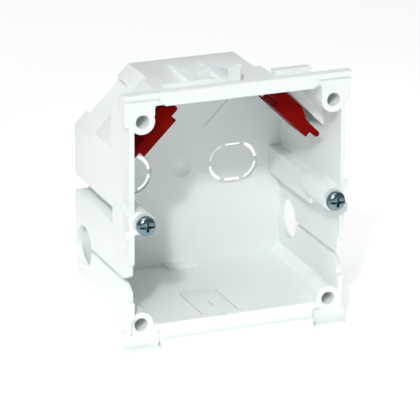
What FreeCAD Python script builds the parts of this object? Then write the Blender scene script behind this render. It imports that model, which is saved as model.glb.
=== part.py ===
import FreeCAD, Part
import Sketcher
import math
import os

# Single device mounting box for cable trunking, in millimetres.
# The origin is the centre of the front frame's front face. The opening faces -Y,
# +X is to the right seen from the front, and +Z is up.

SIZES = {
    # front frame
    "frame_width": 71.0,
    "frame_height": 80.0,
    "plate_thick": 1.5,
    "plate_depth": 3.3,
    "lintel_drop": 4.2,
    "lintel_length": 49.8,
    "lintel_thick": 1.6,
    "lintel_cut": 1.7,
    "head_flat": 8.0,
    "head_depth": 14.2,
    # corner pads and their screw tubes
    "corner_spacing_wide": 60.0,
    "corner_spacing_high": 63.0,
    "corner_hole_radius": 2.1,
    "corner_tube_radius": 3.8,
    "pad_rear": 5.7,
    "top_pad_setback": 1.0,
    "top_pad_low": 27.7,
    "top_pad_shoulder": 30.3,
    "top_pad_gap": 2.0,
    "top_pad_gap_high": 37.4,
    "low_pad_setback": 2.5,
    "low_pad_high": 32.9,
    "low_pad_corner": 2.2,
    # bottom bar
    "bar_length": 48.6,
    "bar_height": 3.7,
    "bar_wall": 1.4,
    "low_lip_thick": 1.2,
    # box behind the frame
    "body_width": 68.4,
    "body_low": 33.4,
    "box_depth": 47.4,
    "collar_depth": 15.6,
    "collar_front": 1.0,
    "collar_corner": 4.0,
    "tower_top": 34.6,
    "facet_low": 17.4,
    "chamber_rise": 2.2,
    "chamber_depth": 14.9,
    "side_wall": 1.6,
    "floor_wall": 1.9,
    "top_wall": 1.6,
    "back_wall": 1.5,
    "facet_wall": 2.0,
    "chamber_wall": 1.3,
    "low_chamfer": 4.0,
    # front edges of the side walls
    "side_step_low": 12.0,
    "side_step": 1.3,
    "funnel_high": 13.5,
    "funnel_low": 24.0,
    "funnel_depth": 6.0,
    # side openings
    "side_hole_radius": 6.3,
    "side_hole_y": 39.4,
    "side_hole_z": 18.8,
    "side_slot": 1.2,
    "side_slot_z": 18.2,
    # grooves outside the side walls, with the ridges that back them
    "groove_high": 1.7,
    "groove_low": 3.3,
    "groove_depth": 4.4,
    "groove_start": 15.0,
    "ridge_high": 3.3,
    "ridge_low": 4.9,
    "ridge_wall": 1.0,
    # catches outside the side walls
    "catch_length": 5.0,
    "catch_height": 2.5,
    "catch_proud": 1.0,
    "catch_high_z": 4.6,
    "catch_low_z": 2.8,
    # device screws and their bosses
    "screw_spacing": 60.2,
    "screw_z": 0.8,
    "screw_boss_radius": 3.5,
    "screw_radius": 1.5,
    "screw_length": 14.0,
    "screw_head_radius": 2.95,
    "screw_head_thick": 2.4,
    "screw_head_edge": 1.1,
    "screw_stand_off": 1.0,
    "screw_tip": 1.0,
    "screw_clearance": 0.05,
    "recess_depth": 1.2,
    "recess_slot_long": 4.8,
    "recess_slot_wide": 0.8,
    "recess_cross_long": 3.2,
    "recess_cross_wide": 1.0,
    # back wall
    "knockout_left_x": -18.0,
    "knockout_right_x": 17.0,
    "knockout_z": -0.6,
    "knockout_width": 16.0,
    "knockout_height": 12.4,
    "knockout_slot": 1.0,
    "knockout_web": 1.3,
    "knockout_web_x": 3.2,
    "dimple_radius": 3.1,
    "dimple_depth": 0.8,
    "dimple_z": -0.4,
    "score_left": 6.6,
    "score_right": 14.9,
    "score_low": 11.6,
    "score_high": 19.9,
    "score_wide": 0.35,
    "score_depth": 0.3,
    # cable knock-outs in the facets
    "cable_radius": 6.85,
    "cable_y": 39.7,
    "cable_recess": 1.4,
    # strain-relief sliders and the rails that carry them
    "clamp_distance": 30.4,
    "clamp_offset": 0.9,
    "clamp_inner_length": 14.2,
    "clamp_inner_thick": 2.0,
    "clamp_wing_length": 20.2,
    "clamp_wing_thick": 1.8,
    "clamp_front": 11.0,
    "clamp_depth": 13.0,
    "clamp_head_depth": 6.5,
    "clamp_head_thick": 2.0,
    "clamp_head_low": 3.7,
    "clamp_head_high": 8.8,
    "clamp_head_slope": 4.1,
    "rail_gap": 0.3,
    "rail_thick": 1.2,
    "rail_start": 18.0,
    "rail_end": 42.0,
    # floor
    "tongue_x": -4.35,
    "tongue_width": 12.0,
    "tongue_front": 3.5,
    "tongue_rear": 23.5,
    "tongue_slot": 0.5,
    "tongue_mark_front": 8.4,
    "tongue_mark_rear": 14.2,
    "tongue_mark_wide": 0.8,
    "tongue_bar_y": 2.2,
    "tongue_bar_length": 3.4,
    "floor_block_x": -1.0,
    "floor_block_width": 10.0,
    "floor_block_depth": 4.6,
    "floor_block_rise": 0.9,
    # snap lugs, stop rib and block on top
    "lug_width": 4.0,
    "lug_left_x": -6.7,
    "lug_pitch": 9.7,
    "lug_front": 17.0,
    "lug_rear": 42.0,
    "lug_high": 40.3,
    "lug_nose": 1.9,
    "lug_undercut": 2.2,
    "stop_left": -17.0,
    "stop_right": 7.0,
    "stop_thick": 1.0,
    "stop_high": 37.5,
    "block_left": 16.7,
    "block_right": 28.3,
    "block_front": 13.5,
    "block_rear": 19.2,
    "block_high": 38.0,
    "block_wall": 1.3,
}

doc = FreeCAD.newDocument("SwitchBox")
sheet = doc.addObject("Spreadsheet::Sheet", "Sizes")
for row, (alias, value) in enumerate(SIZES.items(), start=1):
    sheet.set(f"A{row}", alias)
    sheet.set(f"B{row}", str(value))
    sheet.setAlias(f"B{row}", alias)
doc.recompute()


class Size:
    # A length that knows the sheet formula it comes from, so that one line of
    # arithmetic gives a sketch both its first shape and its expression.
    def __init__(self, value, formula):
        self.value = value
        self.formula = formula

    def join(self, other, sign, value):
        return Size(value, f"({self.formula} {sign} {as_size(other).formula})")

    def __add__(self, other):
        return self.join(other, "+", self.value + as_size(other).value)

    def __sub__(self, other):
        return self.join(other, "-", self.value - as_size(other).value)

    def __mul__(self, other):
        return self.join(other, "*", self.value * as_size(other).value)

    def __truediv__(self, other):
        return self.join(other, "/", self.value / as_size(other).value)

    def __radd__(self, other):
        return as_size(other) + self

    def __rsub__(self, other):
        return as_size(other) - self

    def __rmul__(self, other):
        return as_size(other) * self

    def __neg__(self):
        return as_size(0) - self


def as_size(number):
    return number if isinstance(number, Size) else Size(float(number), f"{number:.9g}")


class Book:
    # gives each sheet cell by its alias
    def __getattr__(self, alias):
        return Size(SIZES[alias], f"Sizes.{alias}")


d = Book()
SIDES = {"left": -1, "right": 1}
ROOT_TWO = math.sqrt(2)


def both(outline):
    # the outlines that a function of the side, -1 or 1, gives for left and right
    return [outline(k) for k in SIDES.values()]


def origin_plane(body, role):
    for feature in body.Origin.OriginFeatures:
        if feature.Role == role:
            return feature


def vertex_binding(sketch, geometry, position, x, y):
    for kind, length in (("DistanceX", x), ("DistanceY", y)):
        index = sketch.addConstraint(
            Sketcher.Constraint(kind, -1, 1, geometry, position, length.value))
        sketch.setExpression(f"Constraints[{index}]", length.formula)


def draw_circle(sketch, x, y, radius):
    centre = FreeCAD.Vector(x.value, y.value, 0)
    index = sketch.addGeometry(Part.Circle(centre, FreeCAD.Vector(0, 0, 1), radius.value))
    vertex_binding(sketch, index, 3, x, y)
    bound = sketch.addConstraint(Sketcher.Constraint("Radius", index, radius.value))
    sketch.setExpression(f"Constraints[{bound}]", radius.formula)


def draw_outline(sketch, vertices):
    # Each vertex is (x, y) or (x, y, radius). A radius makes the edge that leaves the
    # vertex an arc: above zero it bulges out of the outline, below zero into it.
    points = [(as_size(v[0]), as_size(v[1])) for v in vertices]
    flat = [FreeCAD.Vector(x.value, y.value, 0) for x, y in points]
    count = len(flat)
    area = sum(flat[i].x * flat[(i + 1) % count].y - flat[(i + 1) % count].x * flat[i].y
               for i in range(count))
    ends = []
    for i, vertex in enumerate(vertices):
        first, last = flat[i], flat[(i + 1) % count]
        if len(vertex) == 2:
            index = sketch.addGeometry(Part.LineSegment(first, last))
            ends.append((index, 1, 2))
            continue
        radius = as_size(vertex[2])
        left_turn = (radius.value > 0) == (area > 0)
        chord = last - first
        rise = math.sqrt(radius.value ** 2 - chord.Length ** 2 / 4)
        side = FreeCAD.Vector(-chord.y, chord.x, 0).normalize() * (rise if left_turn else -rise)
        centre = (first + last) / 2 + side
        a, b = (first, last) if left_turn else (last, first)
        start = math.atan2(a.y - centre.y, a.x - centre.x)
        stop = math.atan2(b.y - centre.y, b.x - centre.x)
        if stop < start:
            stop += 2 * math.pi
        circle = Part.Circle(centre, FreeCAD.Vector(0, 0, 1), abs(radius.value))
        index = sketch.addGeometry(Part.ArcOfCircle(circle, start, stop))
        ends.append((index, 1, 2) if left_turn else (index, 2, 1))
        size = radius if radius.value > 0 else -radius
        bound = sketch.addConstraint(Sketcher.Constraint("Radius", index, size.value))
        sketch.setExpression(f"Constraints[{bound}]", size.formula)
    for i, (x, y) in enumerate(points):
        index, start, stop = ends[i]
        following = ends[(i + 1) % count]
        sketch.addConstraint(
            Sketcher.Constraint("Coincident", index, stop, following[0], following[1]))
        vertex_binding(sketch, index, start, x, y)


def new_sketch(body, name, role, outlines):
    sketch = body.newObject("Sketcher::SketchObject", name)
    sketch.AttachmentSupport = [(origin_plane(body, role), "")]
    sketch.MapMode = "FlatFace"
    for outline in outlines:
        if outline[0] == "circle":
            draw_circle(sketch, *[as_size(v) for v in outline[1:]])
        else:
            draw_outline(sketch, outline)
    return sketch


# The origin plane that an extrusion along each axis starts from. The normal of the
# XZ plane points to -Y, so offsets and directions along Y are turned round.
PLANES = {"X": ("YZ_Plane", 1), "Y": ("XZ_Plane", -1), "Z": ("XY_Plane", 1)}


def prism(body, kind, name, axis, start, end, *outlines):
    # a Pad or Pocket from start to end along one axis of the body
    role, sense = PLANES[axis]
    sketch = new_sketch(body, name + "_sketch", role, outlines)
    start, end = as_size(start), as_size(end)
    sketch.setExpression("AttachmentOffset.Base.z", (sense * start).formula)
    feature = body.newObject("PartDesign::" + kind, name)
    feature.Profile = sketch
    feature.setExpression("Length", (end - start).formula)
    feature.Reversed = (sense > 0) == (kind == "Pocket")
    feature.Refine = False
    sketch.Visibility = False
    return feature


def pad(body, name, axis, start, end, *outlines):
    return prism(body, "Pad", name, axis, start, end, *outlines)


def pocket(body, name, axis, start, end, *outlines):
    return prism(body, "Pocket", name, axis, start, end, *outlines)


def rectangle(left, right, low, high):
    return [(left, low), (right, low), (right, high), (left, high)]


def rounding(body, name, base, radius, wanted):
    # rounds the straight edges whose two ends both satisfy the given test
    doc.recompute()
    names = []
    for index, edge in enumerate(base.Shape.Edges, start=1):
        if all(wanted(vertex.Point) for vertex in edge.Vertexes):
            names.append(f"Edge{index}")
    feature = body.newObject("PartDesign::Fillet", name)
    feature.Base = (base, names)
    feature.setExpression("Radius", radius.formula)
    return feature


half_width = d.frame_width / 2
half_height = d.frame_height / 2
wall_out = d.body_width / 2
wall_in = wall_out - d.side_wall
floor_out = -d.body_low
floor_in = floor_out + d.floor_wall
roof_out = d.tower_top
roof_in = roof_out - d.top_wall
hole_x = d.corner_spacing_wide / 2
hole_z = d.corner_spacing_high / 2
head_in = hole_x - d.corner_tube_radius
head_out = head_in + d.side_wall
chamber_rear = d.collar_depth + d.chamber_depth
back_in = d.box_depth - d.back_wall

# The 45 degree facet of a side lies where |X| + Z is constant. These are the sums of
# its outer and inner faces, behind the chamber and on the raised chamber itself.
facet_sum_out = wall_out + d.facet_low
facet_sum_in = facet_sum_out - ROOT_TWO * d.facet_wall
chamber_sum_out = facet_sum_out + d.chamber_rise
chamber_sum_in = chamber_sum_out - ROOT_TWO * d.chamber_wall
chamfer_sum_out = wall_out + d.body_low - d.low_chamfer
chamfer_sum_in = chamfer_sum_out - ROOT_TWO * d.side_wall


def body_section(side, floor, roof, facet_sum, chamfer_sum):
    # closed section across the box: floor, chamfers, walls, facets and roof
    half = [(chamfer_sum + floor, floor), (side, side - chamfer_sum),
            (side, facet_sum - side), (facet_sum - roof, roof)]
    return half + [(-x, z) for x, z in reversed(half)]


def box_shell(body):
    collar = pad(body, "collar", "Y", d.collar_front, d.collar_depth,
                 rectangle(-wall_out, wall_out, floor_out, roof_out))
    edge = wall_out.value - 0.01
    rounding(body, "collar_corners", collar, d.collar_corner,
             lambda p: abs(p.x) > edge and p.z > roof_out.value - 0.01)
    pad(body, "chamber", "Y", d.collar_depth, chamber_rear,
        body_section(wall_out, floor_out, roof_out, chamber_sum_out, chamfer_sum_out))
    pad(body, "rear_box", "Y", chamber_rear, d.box_depth,
        body_section(wall_out, floor_out, roof_out, facet_sum_out, chamfer_sum_out))


def front_frame(body):
    lintel_half = d.lintel_length / 2
    lintel_low = half_height - d.lintel_drop
    pad(body, "top_plate", "Y", 0, d.plate_depth,
        rectangle(-half_width, half_width, half_height - d.plate_thick, half_height))
    pad(body, "lintel", "Y", 0, d.lintel_thick,
        [(-lintel_half, half_height), (-lintel_half, lintel_low + d.lintel_cut),
         (-lintel_half + d.lintel_cut, lintel_low), (lintel_half - d.lintel_cut, lintel_low),
         (lintel_half, lintel_low + d.lintel_cut), (lintel_half, half_height)])
    head_top = lintel_low + d.top_wall
    pad(body, "head", "X", -head_out, head_out,
        [(d.lintel_thick, roof_in), (d.lintel_thick, head_top), (d.head_flat, head_top),
         (d.head_depth, roof_out), (d.head_depth, roof_in)])
    corner_pads(body)
    bottom_bar(body)


def corner_pads(body):
    tube = d.corner_tube_radius
    inner = hole_x - tube
    web = d.lintel_length / 2
    top = half_height - d.plate_thick / 2
    low = -half_height + d.low_lip_thick / 2
    pad(body, "top_pads", "Y", d.top_pad_setback, d.pad_rear, *both(lambda k: [
        (k * half_width, top), (k * half_width, d.top_pad_shoulder),
        (k * wall_out, d.top_pad_shoulder), (k * wall_out, d.top_pad_low),
        (k * hole_x, hole_z - tube, tube), (k * inner, hole_z),
        (k * inner, d.top_pad_gap_high), (k * web, d.top_pad_gap_high), (k * web, top)]))
    pad(body, "low_pads", "Y", d.low_pad_setback, d.pad_rear, *both(lambda k: [
        (k * half_width, low),
        (k * half_width, -d.low_pad_high - d.low_pad_corner, d.low_pad_corner),
        (k * (half_width - d.low_pad_corner), -d.low_pad_high),
        (k * hole_x, tube - hole_z, tube), (k * inner, -hole_z), (k * inner, low)]))


def bottom_bar(body):
    half = d.bar_length / 2
    bar_top = -half_height + d.bar_height
    web_front = d.pad_rear - d.bar_wall
    pad(body, "low_lip", "Y", 0, d.pad_rear,
        rectangle(-half_width, half_width, -half_height, -half_height + d.low_lip_thick))
    pad(body, "bar", "Y", 0, d.pad_rear, rectangle(-half, half, -half_height, bar_top))
    pad(body, "bar_web", "Y", web_front, d.pad_rear,
        rectangle(-half, half, -half_height, floor_in))
    pocket(body, "bar_hollow", "Y", d.bar_wall, web_front,
           rectangle(-half, half, -half_height + d.low_lip_thick, bar_top - d.bar_wall))


def hollow(body):
    pocket(body, "collar_cavity", "Y", 0, d.collar_depth - d.side_wall,
           rectangle(-wall_in, wall_in, floor_in, roof_in))
    lintel_low = half_height - d.lintel_drop
    pocket(body, "head_cavity", "X", -head_in, head_in,
           [(0, roof_in - d.top_wall), (0, lintel_low), (d.head_flat, lintel_low),
            (d.head_depth, roof_in), (d.head_depth, roof_in - d.top_wall)])
    pocket(body, "chamber_cavity", "Y", d.collar_depth - d.side_wall * 2,
           chamber_rear - d.chamber_wall,
           body_section(wall_in, floor_in, roof_in, chamber_sum_in, chamfer_sum_in))
    pocket(body, "rear_cavity", "Y", chamber_rear - d.chamber_wall * 2, back_in,
           body_section(wall_in, floor_in, roof_in, facet_sum_in, chamfer_sum_in))


def corner_tubes(body):
    # The cavity is cut first, so that the tubes keep their inner stretch. The low
    # tubes stand behind the front edges of the floor and walls, which give way to them.
    pocket(body, "low_tube_faces", "Y", 0, d.low_pad_setback,
           *both(lambda k: ("circle", k * hole_x, -hole_z, d.corner_tube_radius)))
    for level, front, z in (("top", d.top_pad_setback, hole_z),
                            ("low", d.low_pad_setback, -hole_z)):
        pad(body, f"{level}_tubes", "Y", front, d.collar_depth,
            *both(lambda k: ("circle", k * hole_x, z, d.corner_tube_radius)))


def screw_bosses(body):
    inner = wall_out - d.groove_depth - d.ridge_wall
    boss_x = d.screw_spacing / 2
    boss = d.screw_boss_radius
    pad(body, "ridges", "Y", d.collar_depth - d.side_wall, back_in, *both(lambda k: rectangle(
        k * (wall_in + d.side_wall / 2), k * inner, -d.ridge_low, d.ridge_high)))
    pad(body, "screw_bosses", "Y", 0, d.collar_depth,
        *both(lambda k: ("circle", k * boss_x, d.screw_z, boss)))
    pad(body, "boss_webs", "Y", d.collar_front, d.collar_depth, *both(lambda k: rectangle(
        k * boss_x, k * wall_out, d.screw_z - boss, d.screw_z + boss)))
    pocket(body, "side_grooves", "Y", d.groove_start, d.box_depth, *both(lambda k: rectangle(
        k * (wall_out + d.catch_proud), k * (wall_out - d.groove_depth),
        -d.groove_low, d.groove_high)))
    pocket(body, "screw_bores", "Y", 0, d.groove_start, *both(
        lambda k: ("circle", k * boss_x, d.screw_z, d.screw_radius + d.screw_clearance)))


def side_details(body):
    # one pocket runs through both side walls, and none reaches the floor or roof
    rim = d.collar_front
    slot_high = -d.side_slot_z + d.side_slot / 2
    slot_low = -d.side_slot_z - d.side_slot / 2
    throat = rim + d.funnel_depth
    bend = d.funnel_depth * 1.2
    reach = wall_out + d.side_wall
    pocket(body, "side_steps", "X", -reach, reach,
           rectangle(0, rim + d.side_step, -d.funnel_low, -d.side_step_low))
    pocket(body, "side_funnels", "X", -reach, reach,
           [(0, -d.funnel_high), (rim, -d.funnel_high, -bend), (throat, slot_high),
            (d.side_hole_y, slot_high), (d.side_hole_y, slot_low),
            (throat, slot_low, -bend), (rim, -d.funnel_low), (0, -d.funnel_low)])
    pocket(body, "side_holes", "X", -reach, reach,
           ("circle", d.side_hole_y, -d.side_hole_z, d.side_hole_radius))
    for level, z in (("high", d.catch_high_z), ("low", -d.catch_low_z)):
        pad(body, f"catches_{level}", "Z", z - d.catch_height / 2, z + d.catch_height / 2,
            *both(lambda k: [
                (k * wall_out, rim), (k * (wall_out + d.catch_proud), rim),
                (k * (wall_out + d.catch_proud), rim + d.catch_length / 3),
                (k * wall_out, rim + d.catch_length)]))


def stadium(x, z, half_length, radius):
    # oval of two half circles, each drawn as two quarters
    return [(x - half_length, z - radius), (x + half_length, z - radius, radius),
            (x + half_length + radius, z, radius), (x + half_length, z + radius),
            (x - half_length, z + radius, radius), (x - half_length - radius, z, radius)]


def back_details(body):
    radius = d.knockout_height / 2
    half = d.knockout_width / 2 - radius
    rim = radius - d.knockout_slot / 2
    web = d.knockout_web / 2
    reach = d.knockout_slot
    ovals = []
    webs = []
    for x in (d.knockout_left_x, d.knockout_right_x):
        ovals.append(stadium(x, d.knockout_z, half, radius))
        ovals.append(stadium(x, d.knockout_z, half, radius - d.knockout_slot))
        for j in SIDES.values():
            middle = x + j * (half + rim)
            foot = x + j * d.knockout_web_x
            webs.append(rectangle(middle - reach, middle + reach,
                                  d.knockout_z - web, d.knockout_z + web))
            for m in (-1, 1):
                height = d.knockout_z + m * rim
                webs.append(rectangle(foot - web, foot + web, height - reach, height + reach))
    pocket(body, "knockouts", "Y", back_in, d.box_depth, *ovals)
    pad(body, "knockout_webs", "Y", back_in, d.box_depth, *webs)
    thin = d.score_wide / 2 / ROOT_TWO
    pocket(body, "score", "Y", back_in, back_in + d.score_depth,
           [(d.score_left + thin, d.score_low - thin), (d.score_right + thin, d.score_high - thin),
            (d.score_right - thin, d.score_high + thin), (d.score_left - thin, d.score_low + thin)])
    dimple(body)


def dimple(body):
    # a shallow dish, turned about its own axis
    rim, depth = d.dimple_radius, d.dimple_depth
    curve = (rim * rim + depth * depth) / (depth * 2)
    start = back_in - depth
    sketch = new_sketch(body, "dimple_sketch", "YZ_Plane",
                        [[(start, 0), (back_in + depth, 0, curve), (back_in, rim), (start, rim)]])
    sketch.setExpression("AttachmentOffset.Base.y", d.dimple_z.formula)
    dish = body.newObject("PartDesign::Groove", "dimple")
    dish.Profile = sketch
    dish.ReferenceAxis = (sketch, ["H_Axis"])
    dish.Angle = 360
    dish.Refine = False
    sketch.Visibility = False


def cable_knockouts(body):
    # each recess is drawn in the plane of its facet and runs out at the rear
    middle_x = (wall_out + facet_sum_out - roof_out) / 2
    middle_z = (d.facet_low + roof_out) / 2
    for name, k in SIDES.items():
        radius = d.cable_radius
        front = d.cable_y - radius
        sketch = new_sketch(
            body, f"cable_recess_{name}_sketch", "XY_Plane",
            [[(-radius, d.box_depth + 1), (-radius, d.cable_y, radius),
              (as_size(0), front, radius), (radius, d.cable_y),
              (radius, d.box_depth + 1)]])
        sketch.AttachmentOffset = FreeCAD.Placement(
            FreeCAD.Vector(0, 0, 0), FreeCAD.Rotation(FreeCAD.Vector(0, 1, 0), 45 * k))
        sketch.setExpression("AttachmentOffset.Base.x", (k * middle_x).formula)
        sketch.setExpression("AttachmentOffset.Base.z", middle_z.formula)
        recess = body.newObject("PartDesign::Pocket", f"cable_recess_{name}")
        recess.Profile = sketch
        recess.setExpression("Length", d.cable_recess.formula)
        sketch.Visibility = False


def facet_point(k, along, out):
    # a point given by its distance along the facet, down and outwards, from the
    # 45 degree line through the origin, and by its distance out from the origin
    return (k * (out + along) / ROOT_TWO, (out - along) / ROOT_TWO)


# The sliders ride a little above the middle of their facets, towards the tower.
facet_middle = ((wall_out + facet_sum_out - roof_out) / 2 - (d.facet_low + roof_out) / 2) / ROOT_TWO
clamp_middle = facet_middle - d.clamp_offset
wing_low = d.clamp_distance + d.clamp_inner_thick
wing_high = wing_low + d.clamp_wing_thick


def clamp_rails(body):
    # each slider runs between two hooks, one under either wing
    lip_out = wing_low - d.rail_gap
    lip_in = lip_out - d.rail_thick
    lip_start = d.clamp_inner_length / 2 + d.rail_gap
    web_start = d.clamp_wing_length / 2 + d.rail_gap
    web_end = web_start + d.rail_thick
    reach = facet_sum_in / ROOT_TWO + d.facet_wall / 3
    hook = [(lip_start, lip_in), (web_end, lip_in), (web_end, reach),
            (web_start, reach), (web_start, lip_out), (lip_start, lip_out)]
    for name, end in (("upper", -1), ("lower", 1)):
        pad(body, f"{name}_rails", "Y", d.rail_start, d.rail_end, *both(lambda k: [
            facet_point(k, clamp_middle + end * along, out) for along, out in hook]))


def floor_details(body):
    below = floor_out - 1
    above = floor_in + d.floor_wall
    left = d.tongue_x - d.tongue_width / 2
    right = d.tongue_x + d.tongue_width / 2
    slot = d.tongue_slot
    pocket(body, "tongue_slot", "Z", below, above,
           [(left, d.tongue_front), (left + slot, d.tongue_front),
            (left + slot, d.tongue_rear - slot), (right - slot, d.tongue_rear - slot),
            (right - slot, d.tongue_front), (right, d.tongue_front),
            (right, d.tongue_rear), (left, d.tongue_rear)])
    pocket(body, "tongue_mark", "Z", below, above,
           rectangle(d.tongue_x - d.tongue_mark_wide / 2, d.tongue_x + d.tongue_mark_wide / 2,
                     d.tongue_mark_front, d.tongue_mark_rear))
    pocket(body, "tongue_bar", "Z", floor_in - d.floor_wall / 2, above,
           rectangle(d.tongue_x - d.tongue_bar_length / 2, d.tongue_x + d.tongue_bar_length / 2,
                     d.tongue_bar_y - d.tongue_mark_wide / 2,
                     d.tongue_bar_y + d.tongue_mark_wide / 2))
    half = d.floor_block_width / 2
    pad(body, "floor_block", "Z", floor_in, floor_in + d.floor_block_rise,
        rectangle(d.floor_block_x - half, d.floor_block_x + half,
                  back_in - d.floor_block_depth, back_in))


def roof_details(body):
    for number, name in enumerate(("left", "right")):
        left = d.lug_left_x + number * d.lug_pitch
        nose_low = d.lug_high - d.lug_nose
        pad(body, f"lug_{name}", "X", left, left + d.lug_width,
            [(d.lug_rear, roof_out), (d.lug_front, d.lug_high), (d.lug_front, nose_low),
             (d.lug_front + d.lug_undercut, nose_low - d.lug_nose / 2),
             (d.lug_front + d.lug_undercut, roof_out)])
    pad(body, "stop_rib", "Y", d.collar_depth - d.stop_thick, d.collar_depth,
        rectangle(d.stop_left, d.stop_right, roof_in + d.top_wall / 2, d.stop_high))
    wall = d.block_wall
    low = roof_out - wall / 2
    pad(body, "top_block", "Y", d.block_front, d.block_rear,
        rectangle(d.block_left, d.block_right, low, d.block_high))
    pad(body, "top_block_web", "Y", d.collar_depth - wall / 2, d.block_rear,
        [(chamber_sum_out - roof_out, low),
         (d.block_right, chamber_sum_out - d.block_right - wall / 2), (d.block_right, low)])


def corner_bores(body):
    holes = [("circle", k * hole_x, j * hole_z, d.corner_hole_radius)
             for k in (-1, 1) for j in (-1, 1)]
    return pocket(body, "corner_bores", "Y", 0, d.collar_depth, *holes)


def new_body(label):
    body = doc.addObject("PartDesign::Body", label)
    body.Label = label
    return body


def make_housing():
    body = new_body("housing")
    box_shell(body)
    front_frame(body)
    hollow(body)
    corner_tubes(body)
    screw_bosses(body)
    side_details(body)
    back_details(body)
    cable_knockouts(body)
    clamp_rails(body)
    floor_details(body)
    roof_details(body)
    # only the last feature merges the faces that lie in one plane
    corner_bores(body).Refine = True
    return body


def make_clamp(name, k):
    # Drawn in its own frame: x runs along the facet, down for the right slider and up
    # for the left one, and z runs out of the facet. The two are mirror images.
    body = new_body(f"clamp_{name}")
    half_inner = d.clamp_inner_length / 2
    half_wing = d.clamp_wing_length / 2
    low = d.clamp_inner_thick
    high = low + d.clamp_wing_thick
    front = d.clamp_front
    rear = front + d.clamp_depth
    tip = d.clamp_wing_thick / 2
    pad(body, "plate", "Y", front, rear, rectangle(-half_inner, half_inner, 0, low))
    pad(body, "wings", "Y", front, rear,
        [(half_wing - tip, low, tip), (half_wing, low + tip, tip),
         (half_wing - tip, high), (tip - half_wing, high, tip),
         (-half_wing, low + tip, tip), (tip - half_wing, low)])
    pad(body, "head", "Y", front, front + d.clamp_head_depth,
        [(-k * d.clamp_head_high, high), (k * d.clamp_head_low, high),
         (k * (d.clamp_head_low - d.clamp_head_slope), high + d.clamp_head_thick),
         (-k * d.clamp_head_high, high + d.clamp_head_thick)])
    x, z = facet_point(k, clamp_middle, d.clamp_distance)
    body.Placement = FreeCAD.Placement(
        FreeCAD.Vector(0, 0, 0), FreeCAD.Rotation(FreeCAD.Vector(0, 1, 0), 45 * k))
    body.setExpression("Placement.Base.x", x.formula)
    body.setExpression("Placement.Base.z", z.formula)
    return body


def make_screw(name, k):
    # turned about the Y axis of its own frame, with the head towards -Y
    body = new_body(f"device_screw_{name}")
    seat = -d.screw_stand_off
    face = seat - d.screw_head_thick
    tip = seat + d.screw_length
    sketch = new_sketch(
        body, "turned_profile", "XY_Plane",
        [[(as_size(0), tip), (as_size(0), face), (d.screw_head_radius / 2, face),
          (d.screw_head_radius, seat - d.screw_head_edge), (d.screw_head_radius, seat),
          (d.screw_radius, seat), (d.screw_radius, tip - d.screw_tip),
          (d.screw_radius - d.screw_tip / 2, tip)]])
    turned = body.newObject("PartDesign::Revolution", "turned")
    turned.Profile = sketch
    turned.ReferenceAxis = (sketch, ["V_Axis"])
    turned.Angle = 360
    sketch.Visibility = False
    depth = d.recess_depth
    long_half, wide_half = d.recess_slot_long / 2, d.recess_slot_wide / 2
    pocket(body, "slot", "Y", face, face + depth,
           rectangle(-long_half, long_half, -wide_half, wide_half))
    long_half, wide_half = d.recess_cross_long / 2, d.recess_cross_wide / 2
    pocket(body, "cross_flat", "Y", face, face + depth,
           rectangle(-long_half, long_half, -wide_half, wide_half))
    pocket(body, "cross_tall", "Y", face, face + depth,
           rectangle(-wide_half, wide_half, -long_half, long_half))
    body.setExpression("Placement.Base.x", (k * d.screw_spacing / 2).formula)
    body.setExpression("Placement.Base.z", d.screw_z.formula)
    return body


bodies = [make_housing()]
for side_name, side_sign in SIDES.items():
    bodies.append(make_clamp(side_name, side_sign))
    bodies.append(make_screw(side_name, side_sign))
doc.recompute()

# every pad adds material, every pocket removes some, and nothing has failed
problems = []
for thing in doc.Objects:
    if "Invalid" in thing.State or "Error" in thing.State:
        problems.append(f"{thing.Name} is {thing.State}")
for body in bodies:
    before = 0.0
    for feature in body.Group:
        if not feature.isDerivedFrom("PartDesign::Feature"):
            continue
        volume = feature.Shape.Volume
        shrinks = feature.TypeId in ("PartDesign::Pocket", "PartDesign::Fillet",
                                     "PartDesign::Groove")
        if shrinks and volume >= before - 1e-6 or not shrinks and volume <= before + 1e-6:
            problems.append(f"{body.Label}.{feature.Name} goes from {before:.3f} to {volume:.3f}")
        before = volume
    shape = body.Shape
    if shape.isNull() or not shape.isValid():
        problems.append(f"{body.Label} has no valid shape")
    elif len(shape.Solids) != 1:
        problems.append(f"{body.Label} has {len(shape.Solids)} solids")
    print(f"{body.Label}: {shape.Volume:.1f} mm3, {len(shape.Faces)} faces, box {shape.BoundBox}")
if problems:
    raise RuntimeError("; ".join(problems))

os.makedirs("parts", exist_ok=True)
for body in bodies:
    body.Shape.exportStep(f"parts/{body.Label}.step")
print(f"wrote {len(bodies)} parts")
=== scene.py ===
import math
import bmesh
import bpy
from mathutils import Matrix, Vector


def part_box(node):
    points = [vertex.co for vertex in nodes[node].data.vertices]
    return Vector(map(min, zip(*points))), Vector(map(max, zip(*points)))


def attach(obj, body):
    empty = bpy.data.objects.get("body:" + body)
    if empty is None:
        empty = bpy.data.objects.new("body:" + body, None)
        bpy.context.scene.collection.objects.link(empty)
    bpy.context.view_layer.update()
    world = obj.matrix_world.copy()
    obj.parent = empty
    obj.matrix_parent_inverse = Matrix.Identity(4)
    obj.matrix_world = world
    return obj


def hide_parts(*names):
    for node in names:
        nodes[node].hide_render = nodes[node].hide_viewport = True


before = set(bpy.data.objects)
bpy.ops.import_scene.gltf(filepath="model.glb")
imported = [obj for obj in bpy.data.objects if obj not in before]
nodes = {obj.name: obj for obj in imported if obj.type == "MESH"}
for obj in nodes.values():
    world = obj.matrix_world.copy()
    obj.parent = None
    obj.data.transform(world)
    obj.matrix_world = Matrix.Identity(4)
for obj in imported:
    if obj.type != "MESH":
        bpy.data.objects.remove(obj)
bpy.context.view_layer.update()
print("frame loaded with", ", ".join(sorted(nodes)))


def metres(*millimetres):
    return Vector(millimetres) / 1000


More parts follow.
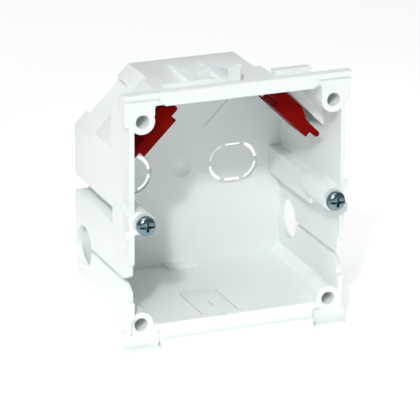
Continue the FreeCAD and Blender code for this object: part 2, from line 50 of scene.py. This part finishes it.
# the photograph's camera, aimed at the box from the front left and a little above
camera = {
    "azimuth": -22.178,
    "elevation": 19.589,
    "roll": 0.348,
    "right": -8.685,  # millimetres from the origin along the camera's own axes
    "up": 1.199,
    "back": 982.781,
    "lens": 287.31,
    "clip": (0.05, 20),
}


def makeCamera(s):
    azimuth, elevation, roll = (math.radians(s[k]) for k in ("azimuth", "elevation", "roll"))
    back = Vector((math.sin(azimuth) * math.cos(elevation),
                   -math.cos(azimuth) * math.cos(elevation), math.sin(elevation)))
    level = Vector((math.cos(azimuth), math.sin(azimuth), 0))
    rise = back.cross(level)
    right = level * math.cos(roll) + rise * math.sin(roll)
    up = rise * math.cos(roll) - level * math.sin(roll)
    data = bpy.data.cameras.new("photoCamera")
    data.lens = s["lens"]
    data.clip_start, data.clip_end = s["clip"]
    holder = bpy.data.objects.new("photoCamera", data)
    place = (right * s["right"] + up * s["up"] + back * s["back"]) / 1000
    turn = Matrix((right, up, back)).transposed().to_4x4()
    holder.matrix_world = Matrix.Translation(place) @ turn
    bpy.context.scene.collection.objects.link(holder)
    bpy.context.scene.camera = holder


makeCamera(camera)
print("camera placed")


class Field:
    # a socket's value, which plain arithmetic turns into Math nodes
    def __init__(self, shader, socket):
        self.shader = shader
        self.socket = socket

    def math(self, operation, first, second):
        return self.shader.node("ShaderNodeMath", {"operation": operation}, {0: first, 1: second})

    def __add__(self, other):
        return self.math("ADD", self, other)

    def __radd__(self, other):
        return self.math("ADD", other, self)

    def __sub__(self, other):
        return self.math("SUBTRACT", self, other)

    def __rsub__(self, other):
        return self.math("SUBTRACT", other, self)

    def __mul__(self, other):
        return self.math("MULTIPLY", self, other)

    def __rmul__(self, other):
        return self.math("MULTIPLY", other, self)


class Shader:
    # one material, built node by node
    def __init__(self, name):
        self.material = bpy.data.materials.new(name)
        self.material.use_nodes = True
        self.tree = self.material.node_tree
        self.surface = self.tree.nodes["Principled BSDF"]

    def node(self, kind, settings=None, inputs=None, output=0):
        made = self.tree.nodes.new(kind)
        for key, value in (settings or {}).items():
            setattr(made, key, value)
        for key, value in (inputs or {}).items():
            self.give(made.inputs[key], value)
        return Field(self, made.outputs[output])

    def give(self, socket, value):
        if isinstance(value, Field):
            self.tree.links.new(value.socket, socket)
        else:
            socket.default_value = value

    def set(self, **sockets):
        # socket names are written without their spaces: BaseColor, CoatWeight
        for socket in self.surface.inputs:
            value = sockets.pop(socket.name.replace(" ", ""), None)
            if value is not None:
                self.give(socket, value)
        if sockets:
            raise ValueError(f"no such sockets: {sorted(sockets)}")

    def noise(self, where, scale, detail, roughness):
        return self.node("ShaderNodeTexNoise", {}, {
            "Vector": where, "Scale": scale, "Detail": detail, "Roughness": roughness}, "Fac")

    def blend(self, factor, first, second):
        return self.node("ShaderNodeMix", {"data_type": "RGBA"},
                         {0: factor, 6: first, 7: second}, 2)

    def bump(self, height, strength, distance):
        return self.node("ShaderNodeBump", {}, {
            "Height": height, "Strength": strength, "Distance": distance}, "Normal")


noiseMiddle = 0.5


def varied(base, *noises):
    # a value that each noise moves up and down by its share
    for noise, share in noises:
        base = base + (noise - noiseMiddle) * share
    return base


# white moulded plastic: a satin skin with fine spark-eroded grain and faint flow clouds
whitePlastic = {
    "bright": (0.852, 0.895, 0.886, 1),
    "shade": (0.825, 0.873, 0.863, 1),
    "clouds": (55, 3, 0.5),  # a noise's scale, detail and roughness
    "grain": (2400, 2, 0.6),
    "roughness": 0.36,
    "cloudShare": 0.10,  # how far the noise moves the roughness
    "grainShare": 0.12,
    "bumpStrength": 0.35,
    "bumpDepth": 0.00002,  # metres
    "refraction": 1.5,
}


def makeWhitePlastic(s):
    shader = Shader("whitePlastic")
    where = shader.node("ShaderNodeTexCoord", output="Object")
    clouds = shader.noise(where, *s["clouds"])
    grain = shader.noise(where, *s["grain"])
    shader.set(
        BaseColor=shader.blend(clouds, s["shade"], s["bright"]),
        Roughness=varied(s["roughness"], (clouds, s["cloudShare"]), (grain, s["grainShare"])),
        Normal=shader.bump(grain, s["bumpStrength"], s["bumpDepth"]),
        IOR=s["refraction"])
    return shader.material


# red plastic: deep and satin, with fine rub marks along the way that it slides
redPlastic = {
    "deep": (0.165, 0.0012, 0.0006, 1),
    "bright": (0.225, 0.0024, 0.0012, 1),
    "clouds": (90, 2, 0.5),
    "grain": (1800, 2, 0.5),
    "rubs": (900, 3, 0.7),
    "rubStretch": (1, 0.06, 1),
    "roughness": 0.34,
    "rubShare": 0.22,
    "shine": 0.03,
    "grainBump": 0.6,
    "rubBump": 0.4,
    "bumpStrength": 0.3,
    "bumpDepth": 0.00002,
}


def makeRedPlastic(s):
    shader = Shader("redPlastic")
    where = shader.node("ShaderNodeTexCoord", output="Object")
    clouds = shader.noise(where, *s["clouds"])
    grain = shader.noise(where, *s["grain"])
    stretched = shader.node("ShaderNodeMapping", {}, {"Vector": where, "Scale": s["rubStretch"]})
    rubs = shader.noise(stretched, *s["rubs"])
    height = grain * s["grainBump"] + rubs * s["rubBump"]
    shader.set(
        BaseColor=shader.blend(clouds, s["deep"], s["bright"]),
        Roughness=varied(s["roughness"], (rubs, s["rubShare"])),
        SpecularIORLevel=s["shine"],
        Normal=shader.bump(height, s["bumpStrength"], s["bumpDepth"]))
    return shader.material


# zinc plate on steel: bluish, with duller stains and fine pits
platedSteel = {
    "colour": (0.27, 0.36, 0.40, 1),
    "dull": (0.13, 0.20, 0.23, 1),
    "stains": (700, 3, 0.6),
    "pits": (5200, 2, 0.5),
    "roughness": 0.24,
    "stainShare": 0.25,
    "bumpStrength": 0.25,
    "bumpDepth": 0.00001,
}


def makePlatedSteel(s):
    shader = Shader("platedSteel")
    where = shader.node("ShaderNodeTexCoord", output="Object")
    stains = shader.noise(where, *s["stains"])
    pits = shader.noise(where, *s["pits"])
    shader.set(
        BaseColor=shader.blend(stains, s["dull"], s["colour"]),
        Metallic=1.0,
        Roughness=varied(s["roughness"], (stains, s["stainShare"])),
        Normal=shader.bump(pits, s["bumpStrength"], s["bumpDepth"]))
    return shader.material


materials = {
    "white_plastic": makeWhitePlastic(whitePlastic),
    "red_plastic": makeRedPlastic(redPlastic),
    "plated_steel": makePlatedSteel(platedSteel),
}
print("materials made:", ", ".join(materials))


flatArea = 20e-6  # square metres: any larger face is a plane one
squareNormal = 0.9999  # a face turned this squarely to an axis is a plane one too
mergeDistance = 1e-6  # metres
flatAngle = 0.4  # degrees: faces that meet at less are parts of one flat face
sharpAngle = 32  # degrees: an edge that turns further is a moulding's sharp edge
nearness = 0.02  # millimetres


def finishPiece(name, made, slot, body, replaced, smoothAngle=35, turned=False):
    # turns a bmesh into a piece that rides on its body in place of a CAD node
    for face in made.faces:
        face.smooth = turned or (face.calc_area() < flatArea
                                 and max(abs(part) for part in face.normal) < squareNormal)
    mesh = bpy.data.meshes.new(name)
    made.to_mesh(mesh)
    made.free()
    # the normals that came in with the CAD mesh no longer fit its faces
    if "custom_normal" in mesh.attributes:
        mesh.attributes.remove(mesh.attributes["custom_normal"])
    mesh.set_sharp_from_angle(angle=math.radians(smoothAngle))
    mesh.materials.append(materials[slot])
    piece = bpy.data.objects.new(name, mesh)
    bpy.context.scene.collection.objects.link(piece)
    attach(piece, body)
    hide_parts(replaced)


def mergedCopy(node):
    # the CAD mesh is loose triangles: this copy has whole flat faces again
    made = bmesh.new()
    made.from_mesh(nodes[node].data)
    bmesh.ops.remove_doubles(made, verts=made.verts, dist=mergeDistance)
    wholeFaces(made)
    return made


def wholeFaces(made):
    bmesh.ops.dissolve_limit(made, angle_limit=math.radians(flatAngle), verts=made.verts,
                             edges=made.edges)


def isSharp(edge):
    return len(edge.link_faces) == 2 and edge.calc_face_angle() > math.radians(sharpAngle)


def isNear(value, wanted):
    # compares metres with millimetres
    return abs(value * 1000 - wanted) < nearness


def roundOff(made, edges, radius, segments):
    bmesh.ops.bevel(made, geom=edges, offset=radius / 1000, offset_type="OFFSET", affect="EDGES",
                    segments=segments, profile=0.5, material=-1, clamp_overlap=True)


def cutAway(made, cutters):
    # takes each cutter's shape out of the piece by an exact boolean
    holders = []
    for source in [made, *cutters]:
        mesh = bpy.data.meshes.new("tool")
        source.to_mesh(mesh)
        holders.append(bpy.data.objects.new("tool", mesh))
        bpy.context.scene.collection.objects.link(holders[-1])
    for cutter in holders[1:]:
        step = holders[0].modifiers.new("cut", "BOOLEAN")
        step.operation, step.solver, step.object = "DIFFERENCE", "EXACT", cutter
    result = holders[0].evaluated_get(bpy.context.evaluated_depsgraph_get())
    made.clear()
    made.from_mesh(result.data)
    for holder in holders:
        mesh = holder.data
        bpy.data.objects.remove(holder)
        bpy.data.meshes.remove(mesh)
    for cutter in cutters:
        cutter.free()


# the white box, in millimetres
housing = {
    "edgeRadius": 0.35,
    "edgeSegments": 3,
    "longEdge": 4.0,  # only longer edges are rounded, and none that meets a short one
    "shortEdge": 0.9,
    # small forms that the solids give more plainly than the photograph does: the corners at
    # the first number on an axis go to the second, inside the ranges on the other axes.
    # "side" is the distance from the middle, to the left or to the right.
    "moves": {
        "hook fronts": ("y", 18.0, 21.0, {}),
        "lug feet": ("y", 19.2, 17.0, {"z": (34.5, 41)}),
        "left lug's lean": ("z", 40.3, 39.2, {"x": (-6.72, -6.68), "y": (16.98, 17.02)}),
        "right lug's lean": ("z", 40.3, 39.2, {"x": (2.98, 3.02), "y": (16.98, 17.02)}),
        "top pads' slanted corner": ("z", 37.4, 36.1, {"side": (26.18, 26.22), "y": (-1, 1.8)}),
        "web over the bottom bar": ("y", 4.3, 1.05, {"side": (-1, 24.4), "z": (-36.4, -33.3)}),
        "lower pads' inner end": ("side", 26.2, 24.34, {"y": (2.4, 5.8), "z": (-41, -33.3)}),
        "slot foot": ("z", -34.4, -33.41, {"y": (-1, 6)}),
        "stop rib's left end": ("x", -17.0, -19.1, {"y": (14.4, 15.8), "z": (34, 41)}),
        "stop rib's right end": ("x", 7.0, -3.2, {"y": (14.4, 15.8), "z": (34, 41)}),
    },
    # the ridges that back the outer grooves, rounded on the inside
    "ridgeInner": 28.8,
    "ridgeFront": 13.9,
    "ridgeAngle": 1.0,  # radians
    "ridgeRadius": 1.3,
    "ridgeSegments": 5,
    # the thinned discs of the two knock-outs
    "discCentres": (-18.0, 17.0),
    "discLevel": -0.6,
    "discHalf": 1.8,
    "discRadius": 6.25,
    "discSteps": 24,
    "discFrom": 45.0,
    "discTo": 46.6,
    # the round dimple in the back wall
    "dimpleLevel": -0.4,
    "dimpleReach": 3.6,
    "dimpleFloor": 45.9,
    "dimpleMost": 0.9,
    "dimpleGain": 1.5,  # how many times deeper than the solid's
}


def moveCorners(made, moves):
    for vert in made.verts:
        place = {"x": vert.co.x * 1000, "y": vert.co.y * 1000, "z": vert.co.z * 1000,
                 "side": abs(vert.co.x) * 1000}
        for axis, old, new, ranges in moves.values():
            if abs(place[axis] - old) >= nearness:
                continue
            if all(low < place[other] < high for other, (low, high) in ranges.items()):
                if axis == "side":
                    vert.co.x = math.copysign(new / 1000, vert.co.x)
                else:
                    setattr(vert.co, axis, new / 1000)


def deepenDimple(made, s):
    for vert in made.verts:
        away = math.hypot(vert.co.x, vert.co.z - s["dimpleLevel"] / 1000)
        deeper = vert.co.y - s["dimpleFloor"] / 1000
        if away < s["dimpleReach"] / 1000 and 0 < deeper < s["dimpleMost"] / 1000:
            vert.co.y += deeper * (s["dimpleGain"] - 1)


def knockOutDisc(s, centre):
    # a cutter with two round ends, which thins the back wall inside the slots
    disc = bmesh.new()
    ring = []
    for end in (1, -1):
        for step in range(s["discSteps"] + 1):
            angle = math.pi * (step / s["discSteps"] - 0.5)
            ring.append(disc.verts.new(metres(
                centre + end * (s["discHalf"] + s["discRadius"] * math.cos(angle)),
                s["discFrom"],
                s["discLevel"] + end * s["discRadius"] * math.sin(angle))))
    grown = bmesh.ops.extrude_face_region(disc, geom=[disc.faces.new(ring)])["geom"]
    bmesh.ops.translate(disc, verts=[v for v in grown if isinstance(v, bmesh.types.BMVert)],
                        vec=metres(0, s["discTo"] - s["discFrom"], 0))
    bmesh.ops.recalc_face_normals(disc, faces=disc.faces)
    return disc


def ridgeEdges(made, s):
    def onRidge(vert):
        return isNear(abs(vert.co.x), s["ridgeInner"]) and vert.co.y > s["ridgeFront"] / 1000

    return [edge for edge in made.edges
            if all(onRidge(vert) for vert in edge.verts)
            and edge.calc_face_angle(0) > s["ridgeAngle"]]


def longEdges(made, s):
    # the long outer edges, where no short edge and no inner corner meets either end
    def isRoomy(edge):
        return edge.calc_length() > s["longEdge"] / 1000 and edge.is_convex and all(
            other.calc_length() > s["shortEdge"] / 1000
            and (other.is_convex or not isSharp(other))
            for vert in edge.verts for other in vert.link_edges)

    return [edge for edge in made.edges if isSharp(edge) and isRoomy(edge)]


def makeHousing(s):
    made = mergedCopy("housing")
    moveCorners(made, s["moves"])
    deepenDimple(made, s)
    cutAway(made, [knockOutDisc(s, centre) for centre in s["discCentres"]])
    wholeFaces(made)
    edges = ridgeEdges(made, s)
    print("rounding", len(edges), "ridge edges")
    roundOff(made, edges, s["ridgeRadius"], s["ridgeSegments"])
    edges = longEdges(made, s)
    print("rounding", len(edges), "edges")
    roundOff(made, edges, s["edgeRadius"], s["edgeSegments"])
    finishPiece("housingShell", made, "white_plastic", "housing", "housing")


makeHousing(housing)
print("housing finished")


# the two red sliders
clamp = {
    "edgeRadius": 0.18,  # millimetres
    "edgeSegments": 2,
}


def makeSlider(s, side):
    made = mergedCopy("clamp_" + side)
    edges = [edge for edge in made.edges if isSharp(edge)]
    roundOff(made, edges, s["edgeRadius"], s["edgeSegments"])
    finishPiece("slider" + side.title(), made, "red_plastic", "clamp_" + side, "clamp_" + side)


for side in ("left", "right"):
    makeSlider(clamp, side)
print("sliders finished")


# pan-head screws with a cross and a slot, and a fine thread that the CAD leaves plain.
# In millimetres, with heights along Y.
deviceScrew = {
    "face": -3.4,
    "seat": -1.0,
    "tip": 13.0,
    "headRadius": 2.95,
    "coreRadius": 1.22,
    # shares of the head's radius, with heights behind its face and then from its seat
    "crown": ((0, 0), (0.42, 0.02), (0.66, 0.16), (0.84, 0.5), (0.95, 0.95), (1, 1.4)),
    "rim": ((1, -0.25), (0.96, -0.06), (0.90, 0)),
    "pointLength": 0.7,
    "pointShare": 0.55,
    "threadRadius": 1.48,
    "threadSink": 0.05,  # how far the thread's root lies in the core
    "threadStart": 0.1,
    "threadLeft": 1.2,  # bare length behind the seat and at the tip together
    "pitch": 0.5,
    "threadCrest": (0.4, 0.5, 0.9),  # shares of the pitch where it reaches, leaves and ends
    "spinSteps": 56,
    "threadSteps": 20,
    "recessStart": 0.5,  # how far the cutters stand out of the face
    "slotLong": 4.9,
    "slotWide": 0.75,
    "slotDepth": 0.975,
    "slotTaper": 0.97,
    "crossLong": 3.4,
    "crossWide": 0.95,
    "crossDepth": 1.3,
    "crossTaper": 0.62,
    "smoothAngle": 40,
}
yAxis = {"cent": (0, 0, 0), "axis": (0, 1, 0)}


def spunProfile(made, points, steps):
    # turns (radius, height) points about the Y axis
    verts = [made.verts.new(metres(radius, height, 0)) for radius, height in points]
    edges = [made.edges.new(pair) for pair in zip(verts, verts[1:])]
    bmesh.ops.spin(made, geom=verts + edges, angle=math.tau, steps=steps, use_merge=True, **yAxis)
    bmesh.ops.remove_doubles(made, verts=made.verts, dist=mergeDistance / 10)


def taperedBar(s, kind, turn=0.0):
    # a cutter for one wing of the recess: a bar that narrows towards its lower end
    made = bmesh.new()
    cube = bmesh.ops.create_cube(made, size=1.0)["verts"]
    for vert in cube:
        low = vert.co.y > 0
        scale = s[kind + "Taper"] if low else 1.0
        height = s["face"] + (s[kind + "Depth"] if low else -s["recessStart"])
        vert.co = metres(vert.co.x * s[kind + "Long"] * scale, height,
                         vert.co.z * s[kind + "Wide"] * scale)
    bmesh.ops.rotate(made, verts=cube, cent=(0, 0, 0), matrix=Matrix.Rotation(turn, 3, "Y"))
    return made


def addThread(made, s):
    thread = bmesh.new()
    root, crest, pitch = s["coreRadius"] - s["threadSink"], s["threadRadius"], s["pitch"]
    rise, fall, end = s["threadCrest"]
    first = s["seat"] + s["threadStart"]
    ring = [thread.verts.new(metres(radius, first + share * pitch, 0))
            for radius, share in ((root, 0), (crest, rise), (crest, fall), (root, end))]
    loop = [thread.edges.new(pair) for pair in zip(ring, ring[1:] + ring[:1])]
    thread.faces.new(ring)
    turns = int((s["tip"] - s["seat"] - s["threadLeft"]) / pitch)
    swept = bmesh.ops.spin(thread, geom=ring + loop, angle=math.tau * turns,
                           steps=turns * s["threadSteps"],
                           dvec=metres(0, pitch / s["threadSteps"], 0), **yAxis)
    last = [item for item in swept["geom_last"] if isinstance(item, bmesh.types.BMVert)]
    bmesh.ops.contextual_create(thread, geom=last)
    bmesh.ops.recalc_face_normals(thread, faces=thread.faces)
    holder = bpy.data.meshes.new("thread")
    thread.to_mesh(holder)
    thread.free()
    made.from_mesh(holder)
    bpy.data.meshes.remove(holder)


def makeDeviceScrew(s, side):
    made = bmesh.new()
    head, core, tip = s["headRadius"], s["coreRadius"], s["tip"]
    spunProfile(made, [
        *((head * share, s["face"] + height) for share, height in s["crown"]),
        *((head * share, s["seat"] + height) for share, height in s["rim"]),
        (core, s["seat"]), (core, tip - s["pointLength"]),
        (core * s["pointShare"], tip), (0, tip)], s["spinSteps"])
    bmesh.ops.recalc_face_normals(made, faces=made.faces)
    cutAway(made, [taperedBar(s, "slot"), taperedBar(s, "cross"),
                   taperedBar(s, "cross", math.pi / 2)])
    bmesh.ops.recalc_face_normals(made, faces=made.faces)
    addThread(made, s)
    low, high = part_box("device_screw_" + side)
    bmesh.ops.translate(made, verts=made.verts, vec=((low.x + high.x) / 2, 0,
                                                     (low.z + high.z) / 2))
    finishPiece("deviceScrew" + side.title(), made, "plated_steel", "screw_" + side,
                "device_screw_" + side, s["smoothAngle"], True)


for side in ("left", "right"):
    makeDeviceScrew(deviceScrew, side)
print("device screws finished")


# a plain white floor and soft studio light, in metres and watts
studio = {
    "floorHeight": -0.0402,
    "floorSize": 6,
    "floorColour": (0.86, 0.87, 0.87, 1),
    "floorRoughness": 0.9,
    "floorGlow": 0.50,
    "worldColour": (0.93, 0.97, 1.0, 1),
    "worldStrength": 0.22,
    # two large soft lamps: place, power and colour
    "lamps": {
        "key": ((-0.74, -0.90, 0.93), 5.0, (1.0, 1.0, 0.99)),
        "top": ((-0.3, -0.1, 1.2), 5.6, (1.0, 1.0, 1.0)),
    },
    "lampSize": 0.8,
    "lampAim": (0, 0.02, 0),
    # a narrow soft beam that reaches the inside of the box
    "spotFrom": (-0.53, -0.83, 0.74),
    "spotAim": (0.020, 0.028, -0.024),
    "spotAngle": 0.090,  # radians
    "spotPower": 165.0,
    "spotSize": 0.10,
    "spotBlend": 1.0,
}


def makeFloor(s):
    made = bmesh.new()
    bmesh.ops.create_grid(made, x_segments=1, y_segments=1, size=s["floorSize"])
    bmesh.ops.translate(made, verts=made.verts, vec=(0, 0, s["floorHeight"]))
    mesh = bpy.data.meshes.new("floor")
    made.to_mesh(mesh)
    made.free()
    shader = Shader("floorPaint")
    shader.set(BaseColor=s["floorColour"], Roughness=s["floorRoughness"],
               EmissionColor=(1, 1, 1, 1), EmissionStrength=s["floorGlow"])
    mesh.materials.append(shader.material)
    floor = bpy.data.objects.new("floor", mesh)
    bpy.context.scene.collection.objects.link(floor)


def hangLamp(name, kind, power, place, aim):
    lamp = bpy.data.lights.new(name, kind)
    lamp.energy = power
    holder = bpy.data.objects.new(name, lamp)
    holder.location = place
    holder.rotation_mode = "QUATERNION"
    holder.rotation_quaternion = (Vector(aim) - Vector(place)).to_track_quat("-Z", "Y")
    bpy.context.scene.collection.objects.link(holder)
    return lamp


def makeStudio(s):
    makeFloor(s)
    for name, (place, power, colour) in s["lamps"].items():
        lamp = hangLamp(name, "AREA", power, place, s["lampAim"])
        lamp.size, lamp.color = s["lampSize"], colour
    spot = hangLamp("spot", "SPOT", s["spotPower"], s["spotFrom"], s["spotAim"])
    spot.spot_size, spot.spot_blend = s["spotAngle"], s["spotBlend"]
    spot.shadow_soft_size = s["spotSize"]
    world = bpy.data.worlds.new("studio")
    world.use_nodes = True
    backdrop = world.node_tree.nodes["Background"]
    backdrop.inputs["Color"].default_value = s["worldColour"]
    backdrop.inputs["Strength"].default_value = s["worldStrength"]
    bpy.context.scene.world = world
    bpy.context.scene.view_settings.view_transform = "Standard"


makeStudio(studio)
print("studio lit")
